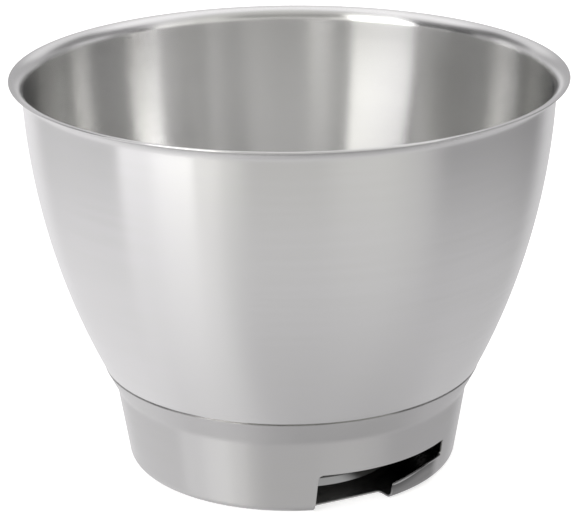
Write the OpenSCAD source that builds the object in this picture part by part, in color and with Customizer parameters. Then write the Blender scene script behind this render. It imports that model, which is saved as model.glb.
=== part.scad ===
// Stand mixer bowl: a deep drawn steel bowl welded into a pressed foot ring.
// The foot ring has bayonet openings that turn under the lugs of the mixer's bowl seat.
// Millimetres, +Z up, origin at the centre of the circle that the bowl stands on.
// One bayonet opening faces -Y.

/* [Rim] */
// Outer diameter of the rolled lip
rim_d = 234.8; // [220:0.2:250]
// Height of the rim above the table
bowl_h = 170.8; // [155:0.2:190]
// Radius of the bend under the lip
lip_bend_r = 5; // [3:0.1:7]
// How far the lip turns outwards from upright, in degrees
lip_turn = 80; // [60:1:88]
// Length of the flat edge of the lip past its bend
lip_flat = 1.4; // [0.5:0.1:4]

/* [Bowl wall] */
// Thickness of the bowl's sheet
sheet_t = 0.8; // [0.6:0.05:1.2]
// Radius of the long curve of the wall, seen from the side
wall_r = 300; // [260:1:420]
// Radius of the curve from the wall into the bottom
heel_r = 45; // [38:0.5:52]
// Gap from the bowl's bottom down to the top of the foot's flange
bottom_gap = 0.6; // [0.3:0.1:3]

/* [Bowl bottom] */
// Width of the level ring between the heel and the raised middle that the beater sweeps round
level_w = 6.8; // [3:0.2:12]
// Steepest slope of the raised middle, in degrees
dome_slope = 22.6; // [12:0.2:30]
// Radius of the curve round the foot of the raised middle
dome_blend_r = 16; // [8:0.5:22]

/* [Foot ring] */
// Thickness of the foot's sheet
foot_t = 0.8; // [0.6:0.05:1.2]
// Gap between the bowl's wall and the collar that is welded to it
weld_gap = 0.1; // [0.05:0.01:0.3]
// How far the collar's face stands out from the wall above it
collar_proud = 0.25; // [0:0.05:0.4]
// Inner radius of the two small bends by which the wall steps in behind the collar
step_bend_r = 0.5; // [0.3:0.1:1.5]
// Height of the collar's upper edge, which shows as the seam
seam_h = 44; // [38:0.2:50]
// Height of the bend between the collar and the foot's wall
bend_h = 33.8; // [28:0.2:36]
// Radius of that bend
bend_r = 8; // [4:0.5:14]
// Diameter of the foot where its wall would meet the table
foot_d = 142; // [134:0.2:150]
// Slope of the foot's wall from upright, in degrees
foot_taper = 9; // [6:0.5:11]
// Radius of the foot's lower edge
foot_edge_r = 4; // [2.5:0.1:5.5]
// Width of the flange that the bowl stands on
flange_w = 24; // [16:0.5:28]

/* [Bayonet] */
// How many bayonet openings the foot has
bayonets = 2; // [2:1:3]
// Width of the open notch that a lug enters by
notch_w = 34; // [26:0.5:38]
// How far the notch reaches in from the foot's face, at its left side
notch_deep_left = 5.9; // [4.5:0.1:9]
// How far it reaches in at its right side, beside the lip
notch_deep_right = 8.7; // [6:0.1:11]
// Length of the closed slot that the lug turns into
slot_len = 30.8; // [26:0.2:34]
// Height of the upper edge of the notch and slot
slot_top = 17.9; // [15:0.1:21]
// Height of the lip under the slot, at its open end
lip_h_open = 7.2; // [6:0.1:9]
// Height of the lip where the lug comes to rest
lip_h_shut = 10.3; // [9.2:0.1:12]
// Length of the level stretch where the lug comes to rest
lip_level = 9; // [5:0.5:14]
// Radius of the notch's corners
notch_corner_r = 2; // [1:0.1:3]
// Radius of the slot's corners
slot_corner_r = 0.9; // [0.4:0.1:1.5]

/* [Hidden] */
$fn = 180;

// Greatest distance from a curve to the straight pieces that stand for it
chord_error = 0.012;
// Straight pieces in a rounded corner of a cut
corner_pieces = 6;
// How far a cutting tool runs past what it cuts
overcut = 5;

bowl_color = [0.78, 0.78, 0.77];
foot_color = [0.70, 0.70, 0.69];

function polar(r, a) = r * [cos(a), sin(a)];
function unit(v) = v / norm(v);
function angle_of(v) = atan2(v.y, v.x);

// Straight pieces that an arc of radius r needs to turn through a sweep
function pieces(r, sweep) = r == 0 ? 0 : ceil(abs(sweep) / (2 * acos(1 - chord_error / r)));

// The meeting point of two circles that lies nearer to the axis
function circles_meet(c1, r1, c2, r2) =
    let (
        apart = norm(c2 - c1),
        along = (apart * apart + r1 * r1 - r2 * r2) / (2 * apart),
        aside = sqrt(r1 * r1 - along * along),
        u = unit(c2 - c1),
        foot = c1 + along * u,
        across = aside * [-u.y, u.x]
    )
    (foot + across).x < (foot - across).x ? foot + across : foot - across;

// A sheet's section is a chain of bends, each [centre, radius, from angle, to angle, side].
// The radius is that of the outer face. Side is 1 where the inner face has the larger radius.
function face(bends, depth) = [
    for (b = bends)
        let (n = pieces(b[1], b[3] - b[2]))
        for (i = [0 : n])
            b[0] + polar(b[1] + b[4] * depth, b[2] + (b[3] - b[2]) * i / max(n, 1))
];

// The same points without any that repeats the one before it
function distinct(points) = [
    for (i = [0 : len(points) - 1])
        if (i == 0 || norm(points[i] - points[i - 1]) > 0.001) points[i]
];

function reversed(points) = [for (i = [len(points) - 1 : -1 : 0]) points[i]];

// Outline of the section of a sheet of thickness t
function section(bends, t) = concat(distinct(face(bends, 0)), reversed(distinct(face(bends, t))));

// The corner of an outline at p, rounded to radius r
function corner(before, p, after, r) =
    r == 0 ? [p] :
    let (
        u = unit(before - p),
        v = unit(after - p),
        half = acos(u * v) / 2,
        centre = p + unit(u + v) * r / sin(half),
        from = angle_of(p + u * r / tan(half) - centre),
        to = angle_of(p + v * r / tan(half) - centre),
        sweep = (to - from + 540) % 360 - 180
    )
    [for (i = [0 : corner_pieces]) centre + polar(r, from + sweep * i / corner_pieces)];

// An outline from corners given as [point, radius]
function rounded(corners) =
    let (n = len(corners))
    [for (i = [0 : n - 1])
        each corner(corners[(i + n - 1) % n][0], corners[i][0], corners[(i + 1) % n][0], corners[i][1])];

// The lip: its under face ends at the rim's outermost point
lip_end_angle = 180 - lip_turn;
lip_tip = [rim_d / 2, bowl_h - sheet_t * sin(lip_end_angle)];
lip_centre = lip_tip - polar(lip_bend_r, lip_end_angle)
    - lip_flat * [sin(lip_end_angle), -cos(lip_end_angle)];

// The wall's curve touches the lip's bend, and lies inside the collar at the foot's bend
foot_r = foot_d / 2;
foot_bend_point = [foot_r + bend_h * tan(foot_taper), bend_h];
collar_r = wall_r + collar_proud;
wall_centre = circles_meet(lip_centre, wall_r + lip_bend_r, foot_bend_point, collar_r);
wall_top_angle = angle_of(lip_centre - wall_centre);

// The wall steps in behind the collar, through one bend inwards and one back.
// The lower bend ends a little under the collar's edge, and leaves half the weld's gap there.
inset_r = collar_r - foot_t - weld_gap;
seam_angle = asin((seam_h - wall_centre.y) / collar_r);
step_out_r = step_bend_r + sheet_t;
step_lap = sqrt(pow(step_bend_r - weld_gap / 2, 2) - pow(step_bend_r - weld_gap, 2));
step_low_angle = seam_angle - asin(step_lap / inset_r);
step_low_reach = inset_r + step_bend_r;
step_top_reach = wall_r - step_out_r;
step_sweep = acos(
    (pow(step_low_reach, 2) + pow(step_top_reach, 2) - pow(step_out_r + step_bend_r, 2))
    / (2 * step_low_reach * step_top_reach)
);
step_top_angle = step_low_angle + step_sweep;
step_top_centre = wall_centre + polar(step_top_reach, step_top_angle);
step_low_centre = wall_centre + polar(step_low_reach, step_low_angle);
step_mid_angle = angle_of(step_low_centre - step_top_centre);

// The heel touches the wall's curve and the level bottom
bottom_z = foot_t + bottom_gap;
heel_z = bottom_z + heel_r;
heel_drop = wall_centre.y - heel_z;
heel_centre = [wall_centre.x + sqrt(pow(inset_r - heel_r, 2) - pow(heel_drop, 2)), heel_z];
heel_angle = angle_of(heel_centre - wall_centre);

// The raised middle is a shallow cap that flows into the level bottom
dome_r = heel_centre.x - level_w;
dome_rise = dome_r * tan(dome_slope / 2);
dome_cap_r = dome_r / sin(dome_slope) - dome_blend_r;
dome_blend_centre = [dome_r, bottom_z + dome_blend_r];
dome_cap_centre = [0, bottom_z + dome_rise - dome_cap_r];

bowl_bends = [
    [lip_tip, 0, lip_end_angle, lip_end_angle, 1],
    [lip_centre, lip_bend_r, lip_end_angle, 180 + wall_top_angle, 1],
    [wall_centre, wall_r, wall_top_angle, step_top_angle, -1],
    [step_top_centre, step_out_r, step_top_angle, step_mid_angle, -1],
    [step_low_centre, step_bend_r, 180 + step_mid_angle, 180 + step_low_angle, 1],
    [wall_centre, inset_r, step_low_angle, heel_angle, -1],
    [heel_centre, heel_r, heel_angle, -90, -1],
    [dome_blend_centre, dome_blend_r, -90, -90 - dome_slope, -1],
    [dome_cap_centre, dome_cap_r, 90 - dome_slope, 90, 1]
];

// The foot's bend touches the collar's curve and the straight wall below it
foot_wall_start = [foot_r, 0] + polar(bend_r, -foot_taper);
foot_wall_run = [sin(foot_taper), cos(foot_taper)];
bend_offset = foot_wall_start - wall_centre;
bend_along = bend_offset * foot_wall_run;
bend_travel = -bend_along
    - sqrt(pow(bend_along, 2) - bend_offset * bend_offset + pow(collar_r + bend_r, 2));
bend_centre = foot_wall_start + bend_travel * foot_wall_run;
bend_angle = angle_of(bend_centre - wall_centre);
foot_edge_centre = [
    foot_r - foot_edge_r * (1 - sin(foot_taper)) / cos(foot_taper),
    foot_edge_r
];

foot_bends = [
    [wall_centre, collar_r, seam_angle, bend_angle, -1],
    [bend_centre, bend_r, 180 + bend_angle, 180 - foot_taper, 1],
    [foot_edge_centre, foot_edge_r, -foot_taper, -90, -1],
    [[foot_r - flange_w, 0], 0, 90, 90, 1]
];

// Places across a bayonet opening, as seen by the punch that comes in along +Y
opening_w = notch_w + slot_len;
notch_left = -opening_w / 2;
notch_right = notch_left + notch_w;
slot_end = opening_w / 2;
notch_floor_left = notch_deep_left - sqrt(pow(foot_r, 2) - pow(notch_left, 2));
notch_floor_right = notch_deep_right - sqrt(pow(foot_r, 2) - pow(notch_right, 2));

// The opening in the foot's wall: the notch and the slot in one
module wall_punch() {
    outline = rounded([
        [[notch_left, foot_edge_r], 0],
        [[notch_left, slot_top], notch_corner_r],
        [[slot_end, slot_top], slot_corner_r],
        [[slot_end, lip_h_shut], slot_corner_r],
        [[slot_end - lip_level, lip_h_shut], 0],
        [[notch_right, lip_h_open], slot_corner_r],
        [[notch_right, foot_edge_r], 0]
    ]);
    wall_inside_y = sqrt(pow(foot_r - foot_t, 2) - pow(opening_w / 2, 2));
    translate([0, -(wall_inside_y - overcut), 0])
        rotate([90, 0, 0])
            linear_extrude(foot_r - wall_inside_y + 2 * overcut)
                polygon(outline);
}

// The notch through the flange and the foot's lower edge
module flange_punch() {
    outer_y = -(foot_r + overcut);
    outline = rounded([
        [[notch_left, outer_y], 0],
        [[notch_left, notch_floor_left], notch_corner_r],
        [[notch_right, notch_floor_right], notch_corner_r],
        [[notch_right, outer_y], 0]
    ]);
    translate([0, 0, -overcut])
        linear_extrude(foot_edge_r + overcut)
            polygon(outline);
}

module bowl_shell() {
    color(bowl_color)
        rotate_extrude()
            polygon(section(bowl_bends, sheet_t));
}

module foot_ring() {
    color(foot_color)
        difference() {
            rotate_extrude()
                polygon(section(foot_bends, foot_t));
            for (i = [0 : bayonets - 1])
                rotate(360 / bayonets * i) {
                    wall_punch();
                    flange_punch();
                }
        }
}

bowl_shell();
foot_ring();
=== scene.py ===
import math

import bpy
import numpy as np
from mathutils import Matrix, Vector


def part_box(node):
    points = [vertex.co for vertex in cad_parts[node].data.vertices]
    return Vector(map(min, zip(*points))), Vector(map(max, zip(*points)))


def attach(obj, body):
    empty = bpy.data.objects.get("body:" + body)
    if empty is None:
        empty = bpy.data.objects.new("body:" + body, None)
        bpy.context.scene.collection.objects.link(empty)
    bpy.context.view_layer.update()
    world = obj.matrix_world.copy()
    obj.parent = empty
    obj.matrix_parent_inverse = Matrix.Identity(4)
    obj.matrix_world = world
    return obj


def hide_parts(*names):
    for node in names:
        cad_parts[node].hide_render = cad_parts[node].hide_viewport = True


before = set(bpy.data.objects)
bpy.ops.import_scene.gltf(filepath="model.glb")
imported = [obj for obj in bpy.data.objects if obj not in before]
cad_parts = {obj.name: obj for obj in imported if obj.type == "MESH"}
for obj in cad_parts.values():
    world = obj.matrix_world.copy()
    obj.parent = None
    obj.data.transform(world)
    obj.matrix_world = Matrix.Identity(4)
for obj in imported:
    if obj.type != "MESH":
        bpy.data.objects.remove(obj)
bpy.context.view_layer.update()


# The bowl is one disc of stainless sheet, drawn deep, trimmed and flared at the rim.
# Its wall is one long curve that rolls over a heel into a level ring round a low raised middle.
# It is brushed round its axis, inside and out, while it spins.

bowl_low, bowl_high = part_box("bowl_shell")

sheet = 0.0008
rim_radius = bowl_high[0]
rim_height = bowl_high[2]
lip_bend = 0.005
lip_turn = math.radians(80)
lip_flat = 0.0014
wall_curve = 0.300
heel_curve = 0.045
level_width = 0.0068
dome_slope = math.radians(22.6)
dome_blend = 0.016

foot_sheet = 0.0008
weld_gap = 0.0001
collar_proud = 0.00025
step_bend = 0.0005
seam_height = 0.044
foot_radius = 0.071
foot_taper = math.radians(9)
foot_bend_height = 0.0338

bowl_columns = 288
bowl_rows = {"lip": 16, "wall": 56, "step": 5, "inset": 12, "heel": 20, "blend": 9, "dome": 9, "edge": 8}


def polar(radius, angle):
    """The point at that distance and angle from the origin of the section's plane."""
    return radius * np.array([math.cos(angle), math.sin(angle)])


def angle_of(v):
    return math.atan2(v[1], v[0])


def arc(centre, radius, start, end, rows):
    """Points centre + radius * (cos t, sin t), with t running evenly from start to end."""
    t = np.linspace(start, end, rows + 1)
    return centre + radius * np.stack([np.cos(t), np.sin(t)], axis=1)


def circles_meet(c1, r1, c2, r2):
    """The point nearer to the axis that lies r1 from c1 and r2 from c2."""
    apart = np.linalg.norm(c2 - c1)
    along = (apart**2 + r1**2 - r2**2) / (2 * apart)
    aside = math.sqrt(r1**2 - along**2)
    u = (c2 - c1) / apart
    base = c1 + along * u
    across = aside * np.array([-u[1], u[0]])
    return min(base + across, base - across, key=lambda p: p[0])


lip_end = math.pi - lip_turn
lip_tip = np.array([rim_radius, rim_height - sheet * math.sin(lip_end)])
lip_run = np.array([math.sin(lip_end), -math.cos(lip_end)])
lip_centre = lip_tip - polar(lip_bend, lip_end) - lip_flat * lip_run

collar_curve = wall_curve + collar_proud
foot_bend_point = np.array([foot_radius + foot_bend_height * math.tan(foot_taper), foot_bend_height])
wall_centre = circles_meet(lip_centre, wall_curve + lip_bend, foot_bend_point, collar_curve)
wall_top = angle_of(lip_centre - wall_centre)

inset_curve = collar_curve - foot_sheet - weld_gap
seam_angle = math.asin((seam_height - wall_centre[1]) / collar_curve)
step_out = step_bend + sheet
step_lap = math.sqrt((step_bend - weld_gap / 2) ** 2 - (step_bend - weld_gap) ** 2)
step_low = seam_angle - math.asin(step_lap / inset_curve)
step_low_reach = inset_curve + step_bend
step_top_reach = wall_curve - step_out
step_span = step_out + step_bend
step_sweep = math.acos(
    (step_low_reach**2 + step_top_reach**2 - step_span**2) / (2 * step_low_reach * step_top_reach)
)
step_top = step_low + step_sweep
step_top_centre = wall_centre + polar(step_top_reach, step_top)
step_low_centre = wall_centre + polar(step_low_reach, step_low)
step_mid = angle_of(step_low_centre - step_top_centre)

bottom = bowl_low[2]
heel_drop = wall_centre[1] - bottom - heel_curve
heel_centre = np.array([
    wall_centre[0] + math.sqrt((inset_curve - heel_curve) ** 2 - heel_drop**2),
    bottom + heel_curve,
])
heel_top = angle_of(heel_centre - wall_centre)

dome_radius = heel_centre[0] - level_width
dome_cap = dome_radius / math.sin(dome_slope) - dome_blend
dome_blend_centre = np.array([dome_radius, bottom + dome_blend])
dome_centre = np.array([0.0, bottom + dome_radius * math.tan(dome_slope / 2) - dome_cap])


def bowl_face(depth):
    """One face of the bowl's sheet, from the lip's edge to the axis, at that depth from the outer face.
    Each bend keeps its centre, and its radius grows or shrinks by the depth."""
    down = -math.pi / 2
    rows = bowl_rows
    turns = [
        arc(lip_centre, lip_bend + depth, lip_end, math.pi + wall_top, rows["lip"]),
        arc(wall_centre, wall_curve - depth, wall_top, step_top, rows["wall"])[1:],
        arc(step_top_centre, step_out - depth, step_top, step_mid, rows["step"])[1:],
        arc(step_low_centre, step_bend + depth, math.pi + step_mid, math.pi + step_low, rows["step"])[1:],
        arc(wall_centre, inset_curve - depth, step_low, heel_top, rows["inset"])[1:],
        arc(heel_centre, heel_curve - depth, heel_top, down, rows["heel"])[1:],
        arc(dome_blend_centre, dome_blend - depth, down, down - dome_slope, rows["blend"]),
        arc(dome_centre, dome_cap + depth, -down - dome_slope, -down, rows["dome"])[1:],
    ]
    return np.concatenate(turns)


def bowl_section():
    """The whole outline of the sheet: up the outer face, round the lip's edge, down the inner face.
    The edge is half a circle as wide as the sheet, and its far side is the rim's widest point."""
    outer = bowl_face(0.0)[::-1]
    inner = bowl_face(sheet)
    half = sheet / 2
    edge_centre = lip_tip + polar(half, lip_end) - half * lip_run
    edge = arc(edge_centre, half, lip_end - math.pi, lip_end, bowl_rows["edge"])
    return np.concatenate([outer, edge, inner])


def mesh_object(name, vertices, faces):
    """A smooth mesh object at the origin, from an array of vertices and lists of face corners."""
    mesh = bpy.data.meshes.new(name)
    mesh.from_pydata(vertices, [], faces)
    mesh.polygons.foreach_set("use_smooth", np.ones(len(mesh.polygons), dtype=bool))
    mesh.update()
    obj = bpy.data.objects.new(name, mesh)
    bpy.context.scene.collection.objects.link(obj)
    return obj


def turned(name, section, columns):
    """A closed surface of revolution: (r cos a, r sin a, z) for each section point (r, z) and each
    of the columns' angles a. The section's first and last points lie on the axis, and each is one
    vertex that a fan of triangles closes."""
    body = section[1:-1]
    a = np.linspace(0, 2 * math.pi, columns, endpoint=False)
    r, z = body[:, :1], body[:, 1:]
    grid = np.stack([r * np.cos(a), r * np.sin(a), z + 0 * a], axis=2).reshape(-1, 3)
    ends = np.array([[0, 0, section[0, 1]], [0, 0, section[-1, 1]]])
    first_pole = len(grid)
    last_pole = first_pole + 1
    rows = np.arange(len(body) - 1)[:, None] * columns
    here = np.arange(columns)
    after = (here + 1) % columns
    quads = np.stack([rows + here, rows + after, rows + columns + after, rows + columns + here], axis=2)
    top = (len(body) - 1) * columns
    fans = [(first_pole, int(after[i]), int(here[i])) for i in range(columns)]
    fans += [(last_pole, int(top + here[i]), int(top + after[i])) for i in range(columns)]
    vertices = np.concatenate([grid, ends])
    return mesh_object(name, vertices, quads.reshape(-1, 4).tolist() + fans)


bowl = turned("bowl", bowl_section(), bowl_columns)
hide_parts("bowl_shell")
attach(bowl, "root")


class Wire:
    """A socket in a node tree. Sums and products of wires add Math nodes."""

    def __init__(self, tree, socket=None):
        self.tree = tree
        self.socket = socket

    def node(self, kind, settings=None, sockets=None, output=0):
        """Adds a node of that type, sets its settings, then fills or links its sockets."""
        made = self.tree.nodes.new(kind)
        for name, value in (settings or {}).items():
            setattr(made, name, value)
        for name, value in (sockets or {}).items():
            if isinstance(value, Wire):
                self.tree.links.new(value.socket, made.inputs[name])
            else:
                made.inputs[name].default_value = value
        return Wire(self.tree, made.outputs[output] if made.outputs else None)

    def other(self, output):
        """Another output of the node that this wire comes from."""
        return Wire(self.tree, self.socket.node.outputs[output])

    def math(self, operation, *values):
        return self.node("ShaderNodeMath", {"operation": operation}, dict(enumerate(values)))

    def __add__(self, other):
        return self.math("ADD", self, other)

    def __sub__(self, other):
        return self.math("SUBTRACT", self, other)

    def __rsub__(self, other):
        return self.math("SUBTRACT", other, self)

    def __mul__(self, other):
        return self.math("MULTIPLY", self, other)

    def __truediv__(self, other):
        return self.math("DIVIDE", self, other)

    __radd__ = __add__
    __rmul__ = __mul__

    def ramp(self, low, high, low_value=0.0, high_value=1.0):
        """Eases from low_value to high_value as this value runs from low to high."""
        sockets = {"Value": self, "From Min": low, "From Max": high,
                   "To Min": low_value, "To Max": high_value}
        return self.node("ShaderNodeMapRange", {"interpolation_type": "SMOOTHSTEP"}, sockets)

    def mix(self, first, second):
        """The colour first where this value is 0 and second where it is 1."""
        return self.node("ShaderNodeMix", {"data_type": "RGBA"}, {0: self, 6: first, 7: second}, output=2)


def new_material(name):
    """A material with an empty tree, and a wire to build it from."""
    material = bpy.data.materials.new(name)
    material.use_nodes = True
    material.node_tree.nodes.clear()
    return material, Wire(material.node_tree)


def brushed_steel(name, base, tint, roughness, streak_length, painted_shade=None):
    """Stainless steel brushed round the Z axis. The streaks come from noise on
    (cos a, sin a) * stretch and on r + z, so they run round the piece and close on themselves.
    The last argument, if given, makes from a wire and the Object coordinates a wire that is 1 where the
    base colour is painted dark, as painted shade."""
    material, wire = new_material(name)
    place = wire.node("ShaderNodeTexCoord", output="Object")
    flat = wire.node("ShaderNodeVectorMath", {"operation": "MULTIPLY"}, {0: place, 1: (1, 1, 0)})
    around = wire.node("ShaderNodeVectorMath", {"operation": "NORMALIZE"}, {0: flat})
    radius = wire.node("ShaderNodeVectorMath", {"operation": "LENGTH"}, {0: flat}, output="Value")
    height = wire.node("ShaderNodeSeparateXYZ", None, {0: place}, output="Z")
    across = radius + height

    def streaks(width, length, detail):
        """Noise whose spots are that wide across the brushing and that long round the axis."""
        turn = wire.node("ShaderNodeVectorMath", {"operation": "SCALE"}, {0: around, "Scale": 0.1 / length})
        lift = wire.node("ShaderNodeCombineXYZ", None, {"Z": across / width})
        spot = wire.node("ShaderNodeVectorMath", {"operation": "ADD"}, {0: turn, 1: lift})
        return wire.node("ShaderNodeTexNoise", None,
                         {"Vector": spot, "Scale": 1.0, "Detail": detail, "Roughness": 0.6}, output="Fac")

    fine = streaks(0.00016, streak_length, 2.0)
    broad = streaks(0.003, 4 * streak_length, 2.0)
    cloud = wire.node("ShaderNodeTexNoise", None,
                      {"Vector": place, "Scale": 18.0, "Detail": 2.0, "Roughness": 0.5}, output="Fac")
    shade = broad.ramp(0.3, 0.7) * 0.5 + fine.ramp(0.3, 0.7) * 0.5
    color = cloud.mix((*base, 1.0), (*tint, 1.0))
    grain_and_painted_shade = shade.mix(color, (*[c * 0.98 for c in base], 1.0))
    # Painted shade: where the mask is 1, the base colour is darkened to a fifth.
    if painted_shade:
        grain_and_painted_shade = painted_shade(wire, place).mix(grain_and_painted_shade, (*[c * 0.2 for c in base], 1.0))
    bump = wire.node("ShaderNodeBump", None, {"Strength": 0.03, "Distance": 0.00001, "Height": fine})
    steel = wire.node("ShaderNodeBsdfPrincipled", None, {
        "Base Color": grain_and_painted_shade,
        "Metallic": 1.0,
        "Roughness": broad.ramp(0.3, 0.7, roughness - 0.006, roughness + 0.006),
        "Anisotropic": 1.0,
        "Anisotropic Rotation": 0.25,
        "Normal": bump,
    })
    wire.node("ShaderNodeOutputMaterial", None, {"Surface": steel})
    return material


bowl.data.materials.append(
    brushed_steel("bowl_steel", (0.72, 0.72, 0.71), (0.71, 0.705, 0.71), 0.22, 0.02)
)


# The foot is one ring of stainless sheet, pressed to shape and welded under the bowl.
# Its collar hugs the bowl's wall, its wall tapers to a rounded edge, and a flange turns inwards.
# Two bayonet openings are punched through it: an open notch, then a closed slot over a lip.

foot_bend = 0.008
foot_edge = 0.004
flange_width = 0.024
bayonets = 2
notch_width = 0.034
notch_depth_left = 0.0059
notch_depth_right = 0.0087
slot_length = 0.0308
slot_top = 0.0179
lip_open = 0.0072
lip_shut = 0.0103
lip_level = 0.009
notch_corner = 0.002
slot_corner = 0.0009
edge_break = 0.0002

bend_start = np.array([foot_radius, 0.0]) + polar(foot_bend, -foot_taper)
bend_run = np.array([math.sin(foot_taper), math.cos(foot_taper)])
bend_offset = bend_start - wall_centre
bend_along = bend_offset @ bend_run
bend_travel = -bend_along - math.sqrt(
    bend_along**2 - bend_offset @ bend_offset + (collar_curve + foot_bend) ** 2
)
bend_centre = bend_start + bend_travel * bend_run
bend_angle = angle_of(bend_centre - wall_centre)
edge_centre = np.array([
    foot_radius - foot_edge * (1 - math.sin(foot_taper)) / math.cos(foot_taper),
    foot_edge,
])

fine_rows = 400
foot_face = np.concatenate([
    arc(wall_centre, collar_curve, seam_angle, bend_angle, fine_rows),
    arc(bend_centre, foot_bend, math.pi + bend_angle, math.pi - foot_taper, fine_rows)[1:],
    arc(edge_centre, foot_edge, -foot_taper, -math.pi / 2, fine_rows),
    np.array([[foot_radius - flange_width, 0.0]]),
])
foot_run = np.concatenate([[0.0], np.cumsum(np.linalg.norm(np.diff(foot_face, axis=0), axis=1))])


def run_at_height(z):
    """How far down the foot's outer face, along its section, the height z lies."""
    return np.interp(-z, -foot_face[:, 1], foot_run)


def run_at_radius(r):
    """The same for a place on the level flange, r from the axis."""
    return foot_run[-1] - (r - foot_face[-1, 0])


def rounded_step(x, edge, corner):
    """How much a quarter circle of radius corner, at the edge, takes off at a distance inside it."""
    inside = np.clip(np.abs(x - edge), 0, corner)
    return corner - np.sqrt(corner**2 - (corner - inside) ** 2)


notch_left = -(notch_width + slot_length) / 2
notch_right = notch_left + notch_width
slot_end = (notch_width + slot_length) / 2
floor_left = notch_depth_left - math.sqrt(foot_radius**2 - notch_left**2)
floor_right = notch_depth_right - math.sqrt(foot_radius**2 - notch_right**2)


def notch_floor(x):
    """How far from the axis the notch reaches in, at each x across it. Its floor is a straight line
    y = floor_left + slope * (x - notch_left), with a quarter circle or so at each end."""
    slope = (floor_right - floor_left) / notch_width
    tilt = math.atan(slope)
    round_left = notch_left + notch_corner
    round_right = notch_right - notch_corner
    y = floor_left + slope * (x - notch_left)
    for middle, side in ((round_left, -1), (round_right, 1)):
        middle_y = floor_left + slope * (middle - notch_left) - notch_corner / math.cos(tilt)
        bend = middle_y + np.sqrt(np.maximum(notch_corner**2 - (x - middle) ** 2, 0))
        y = np.where(side * (x - middle + notch_corner * math.sin(tilt)) > 0, bend, y)
    return np.hypot(x, y)


def spaced(start, end, near, count_near, count):
    """Places from start to end, crowded by a quarter circle's steps within near of both ends."""
    t = np.linspace(0, math.pi / 2, count_near + 1)
    head = start + near * (1 - np.cos(t))
    tail = (end - near * (1 - np.cos(t)))[::-1]
    return np.concatenate([head, np.linspace(start + near, end - near, count + 1)[1:-1], tail])


notch_x = spaced(notch_left, notch_right, notch_corner, 7, 44)
slot_x = spaced(notch_right, slot_end, slot_corner, 6, 44)[1:]
open_x = np.concatenate([notch_x, slot_x])
plain_columns = 90


def opening_lines():
    """For each column across an opening: the height of its upper edge, the height of the lip's upper
    edge, and the radius of the notch's floor in the flange."""
    x = open_x
    upper = slot_top - rounded_step(x, notch_left, notch_corner) - rounded_step(x, slot_end, slot_corner)
    slope = (lip_shut - lip_open) / (slot_end - lip_level - notch_right)
    lip = np.minimum(lip_open + slope * np.maximum(x - notch_right, 0), lip_shut)
    rounded_tip = rounded_step(np.maximum(x, notch_right), notch_right, slot_corner)
    rounded_end = rounded_step(x, slot_end, slot_corner)
    lip = lip - np.where(x < notch_right + slot_corner, rounded_tip, 0)
    lip = lip + np.where(x > slot_end - slot_corner, rounded_end, 0)
    floor = notch_floor(np.minimum(x, notch_right))
    return upper, lip, floor


def eased(first, last, count):
    """Values that run from first to last, leaving out both ends."""
    return np.linspace(first, last, count + 2)[1:-1]


upper, lip, floor = opening_lines()
lines = [np.concatenate([line, eased(line[-1], line[0], plain_columns)]) for line in (upper, lip, floor)]
stations = [
    0 * lines[0],
    run_at_height(lines[0]),
    run_at_height(lines[1]),
    run_at_radius(lines[2]),
    0 * lines[0] + foot_run[-1],
]
band_rows = (44, 10, 26, 12)
run = np.concatenate(
    [stations[0][None]]
    + [
        stations[i] + (stations[i + 1] - stations[i]) * (np.arange(1, n + 1) / n)[:, None]
        for i, n in enumerate(band_rows)
    ]
)
foot_r = np.interp(run, foot_run, foot_face[:, 0])
foot_z = np.interp(run, foot_run, foot_face[:, 1])


def foot_angles():
    """Each grid point's angle round the axis, from -Y towards +X. Across an opening it is
    asin(x / r), so that the cut runs straight. Past it the angle runs evenly to the next opening."""
    across = np.arcsin(open_x / foot_r[:, : len(open_x)])
    t = np.arange(1, plain_columns + 1) / (plain_columns + 1)
    start = across[:, -1:]
    end = across[:, :1] + 2 * math.pi / bayonets
    return np.concatenate([across, start + (end - start) * t], axis=1)


def foot_mesh():
    """The foot's outer face as one grid, without the faces that the openings take away.
    The same part of a turn is repeated for each opening."""
    a = foot_angles()
    per_part = a.shape[1]
    turns = [a + 2 * math.pi * i / bayonets for i in range(bayonets)]
    a = np.concatenate(turns, axis=1)
    r = np.tile(foot_r, bayonets)
    z = np.tile(foot_z, bayonets)
    grid = np.stack([r * np.sin(a), -r * np.cos(a), z], axis=2)
    columns = a.shape[1]
    here = np.arange(columns)
    after = (here + 1) % columns
    rows = np.arange(a.shape[0] - 1)[:, None] * columns
    quads = np.stack([rows + here, rows + columns + here, rows + columns + after, rows + after], axis=2)
    part = here % per_part
    wall_open = part < len(open_x) - 1
    notch_open = part < len(notch_x) - 1
    band = np.repeat(np.arange(len(band_rows)), band_rows)[:, None]
    gone = ((band == 1) & wall_open) | ((band == 2) & notch_open)
    faces = quads[~gone]
    used, faces = np.unique(faces, return_inverse=True)
    return grid.reshape(-1, 3)[used], faces.reshape(-1, 4).tolist()


foot = mesh_object("foot", *foot_mesh())
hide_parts("foot_ring")
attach(foot, "root")

wall = foot.modifiers.new("sheet", "SOLIDIFY")
wall.thickness = foot_sheet
wall.offset = -1
wall.use_even_offset = True
breaks = foot.modifiers.new("broken_edges", "BEVEL")
breaks.width = edge_break
breaks.segments = 3
breaks.limit_method = "ANGLE"
breaks.angle_limit = math.radians(50)
shading = foot.modifiers.new("flat_faces", "WEIGHTED_NORMAL")
shading.keep_sharp = False


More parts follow.
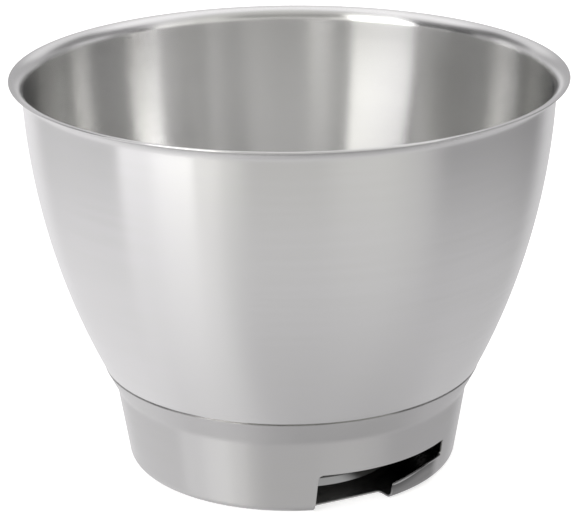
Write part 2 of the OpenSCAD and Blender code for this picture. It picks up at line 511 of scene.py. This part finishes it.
def painted_foot_shade(wire, place):
    """Painted shade: 1 on the flange's upper face and most of 1 on the lips under the slots, where the base
    colour is darkened to stand in for the shade and dark reflections inside the foot. Turning the far
    opening by half a turn lays it on the near one."""
    x = wire.node("ShaderNodeSeparateXYZ", None, {0: place})
    y, z = x.other("Y"), x.other("Z")
    across = x * wire.math("SIGN", y) * -1.0
    depth = across.ramp(notch_right, slot_end - lip_level, lip_open, lip_shut) - z
    on_lip = depth.ramp(0.0003, 0.0007) * depth.ramp(0.0006, 0.0045, 0.9, 0.6)
    on_lip = on_lip * z.ramp(0.0, 0.0025, 1.3, 1.0)
    on_lip = on_lip * across.ramp(notch_right - 0.0006, notch_right - 0.0002)
    on_lip = on_lip * across.ramp(0.024, 0.031, 1.0, 0.0)
    radius = wire.node("ShaderNodeVectorMath", {"operation": "LENGTH"}, {0: place}, output="Value")
    on_flange = z.ramp(0.0003, 0.0006) * z.ramp(0.0012, 0.0020, 1.0, 0.0)
    on_flange = on_flange * radius.ramp(0.066, 0.068, 1.0, 0.0)
    return wire.math("MAXIMUM", on_lip, on_flange * 0.8)


# Painted shade: the foot's steel has a darker base colour than the bowl's, standing in for the shadowed
# floor it mirrors; the last argument paints more shade inside the foot.
foot.data.materials.append(
    brushed_steel("foot_steel", (0.57, 0.57, 0.56), (0.54, 0.535, 0.54), 0.24, 0.015, painted_foot_shade)
)


# The camera stands where the photograph's stood, a little above the rim and to the notch's side.
# Its place and lens were fitted to the bowl's outline, and aim_x, aim_y is the axis in the photo.

camera_turn = math.radians(34.5)
camera_rise = math.radians(20.01)
camera_roll = math.radians(-0.5)
camera_away = 1.0484
camera_lens = 150.5
aim = Vector((0, 0, 0.0763))
photo_width = 580
photo_height = 528
aim_x = 290.9
aim_y = 282.65

to_camera = Vector((
    -math.sin(camera_turn) * math.cos(camera_rise),
    -math.cos(camera_turn) * math.cos(camera_rise),
    math.sin(camera_rise),
))
lens = bpy.data.cameras.new("camera")
lens.sensor_width = 36
lens.lens = camera_lens
lens.shift_x = (photo_width / 2 - aim_x) / photo_width
lens.shift_y = (aim_y - photo_height / 2) / photo_width
lens.clip_end = 20
camera = bpy.data.objects.new("camera", lens)
bpy.context.scene.collection.objects.link(camera)
place = Matrix.Translation(aim + camera_away * to_camera)
facing = to_camera.to_track_quat("Z", "Y").to_matrix().to_4x4()
camera.matrix_world = place @ facing @ Matrix.Rotation(camera_roll, 4, "Z")
bpy.context.scene.camera = camera


# The studio is a white floor and a sky of soft upright cards in tiers, which steel shows as bands.
# Mirrored rays pass through the floor, so the steel mirrors the lowest tier, under the horizon.
# Under the bowl the floor is solid, its colour is painted dark grey as painted shade, and on the notches'
# side camera rays see a painted patch of light on it.

front = Vector((to_camera.x, to_camera.y, 0)).normalized()
right = Vector((-front.y, front.x, 0))

floor_half = 4.0
shaded_reach = 0.061
floor_glow = 0.62
# Strength of the painted light that camera rays see on the floor inside the foot, on the notches' side.
painted_notch_light = 0.26
floor_mesh = bpy.data.meshes.new("floor")
floor_mesh.from_pydata(
    [(-floor_half, -floor_half, 0), (floor_half, -floor_half, 0),
     (floor_half, floor_half, 0), (-floor_half, floor_half, 0)], [], [(0, 1, 2, 3)]
)
floor_object = bpy.data.objects.new("floor", floor_mesh)
bpy.context.scene.collection.objects.link(floor_object)

floor_white, wire = new_material("floor_white")
place = wire.node("ShaderNodeTexCoord", output="Object")
away = wire.node("ShaderNodeVectorMath", {"operation": "LENGTH"}, {0: place}, output="Value")
outside = away.ramp(shaded_reach - 0.002, shaded_reach + 0.002)
seen = wire.node("ShaderNodeLightPath", output="Is Camera Ray")
mirrored = wire.node("ShaderNodeLightPath", output="Is Glossy Ray")
x = wire.node("ShaderNodeSeparateXYZ", None, {0: place})
# Painted light: a patch inside the foot, on the notches' side, where camera rays see a glow standing in for
# light coming through the notch.
inside = (1.0 - outside) * (x * wire.math("SIGN", x.other("Y"))).ramp(-0.006, 0.005)
# Painted shade: the floor's colour is dark grey under the bowl, within shaded_reach.
white = outside.mix((0.35, 0.35, 0.35, 1), (0.9, 0.9, 0.9, 1))
card = wire.node("ShaderNodeBsdfDiffuse", None, {"Color": white})
glow = wire.node("ShaderNodeEmission", None, {
    "Color": (1, 1, 1, 1),
    "Strength": seen * (outside * floor_glow + inside * painted_notch_light),
})
shown = wire.node("ShaderNodeAddShader", None, {0: card, 1: glow})
clear = wire.node("ShaderNodeBsdfTransparent")
surface = wire.node("ShaderNodeMixShader", None, {0: mirrored * outside, 1: shown, 2: clear})
wire.node("ShaderNodeOutputMaterial", None, {"Surface": surface})
floor_mesh.materials.append(floor_white)

world = bpy.data.worlds.new("studio")
bpy.context.scene.world = world
world.use_nodes = True
world.node_tree.nodes.clear()
wire = Wire(world.node_tree)
way = wire.node("ShaderNodeTexCoord", output="Generated")
ahead = wire.node("ShaderNodeVectorMath", {"operation": "DOT_PRODUCT"}, {0: way, 1: front}, output="Value")
aside = wire.node("ShaderNodeVectorMath", {"operation": "DOT_PRODUCT"}, {0: way, 1: right}, output="Value")
rise = wire.node("ShaderNodeSeparateXYZ", None, {0: way}, output="Z")
turn = wire.math("ARCTAN2", aside, ahead) * (180 / math.pi)


def card_band(start, end, soft):
    """1 between two turns from the camera, in degrees, and 0 outside, eased over soft at each end."""
    return turn.ramp(start - soft, start + soft) * turn.ramp(end - soft, end + soft, 1.0, 0.0)


# Each tier has a plain level, and cards that are brighter or darker than it.
low = 0.78 + card_band(-200, -36, 12) * 0.22 - card_band(60, 150, 15) * 0.07
low = low * rise.ramp(-0.9, -0.7, 0.77, 1.0)
middle = (
    0.6 + card_band(-200, -138, 8) * 0.38 + card_band(-138, -77, 6) * 0.1
    + card_band(-77, -41, 2) * 0.84 + card_band(-41, -20, 6) * 0.3 + card_band(18, 46, 8) * 0.16
    - card_band(62, 138, 12) * 0.32 + card_band(138, 200, 8) * 0.14
)
high = (
    0.52 + card_band(-142, -106, 6) * 0.2 + card_band(-19, 44, 8) * 0.4
    + card_band(-118, -106, 4) * 0.4 - card_band(-92, -59, 3) * 0.52
    + card_band(-59, -29, 2) * 4.7 + card_band(-29, -19, 5) * 0.9 + card_band(14, 44, 8) * 0.2
    + card_band(44, 64, 3) * 0.8 + card_band(52, 62, 4) * 0.5 - card_band(64, 76, 3) * 0.45
    + card_band(88, 112, 6) * 0.45
)
upper = (
    0.25 + card_band(-200, -142, 8) * 0.7 - card_band(-142, -59, 5) * 0.1
    + card_band(-59, -29, 3) * 2.6 + card_band(30, 76, 10) * 0.6 + card_band(142, 200, 8) * 0.7
)
overhead = 0.7 + (card_band(-200, -90, 30) + card_band(90, 200, 30)) * 0.6
level = low + (middle - low) * rise.ramp(-0.5, -0.28)
level = level + (high - level) * rise.ramp(0.05, 0.2)
level = level + (upper - level) * rise.ramp(0.3, 0.45)
level = level + (overhead - level) * rise.ramp(0.65, 0.8)
seen = wire.node("ShaderNodeLightPath", output="Is Camera Ray")
warm = card_band(-50, 60, 20) * rise.ramp(-0.6, -0.3)
tint = warm.mix((0.995, 0.982, 1.0, 1.0), (1.0, 0.992, 0.96, 1.0))
sky = wire.node("ShaderNodeBackground", None, {
    "Color": seen.mix(tint, (1.0, 1.0, 1.0, 1.0)),
    "Strength": level + (1.0 - level) * seen,
})
wire.node("ShaderNodeOutputWorld", None, {"Surface": sky})

bpy.context.scene.view_settings.view_transform = "Standard"
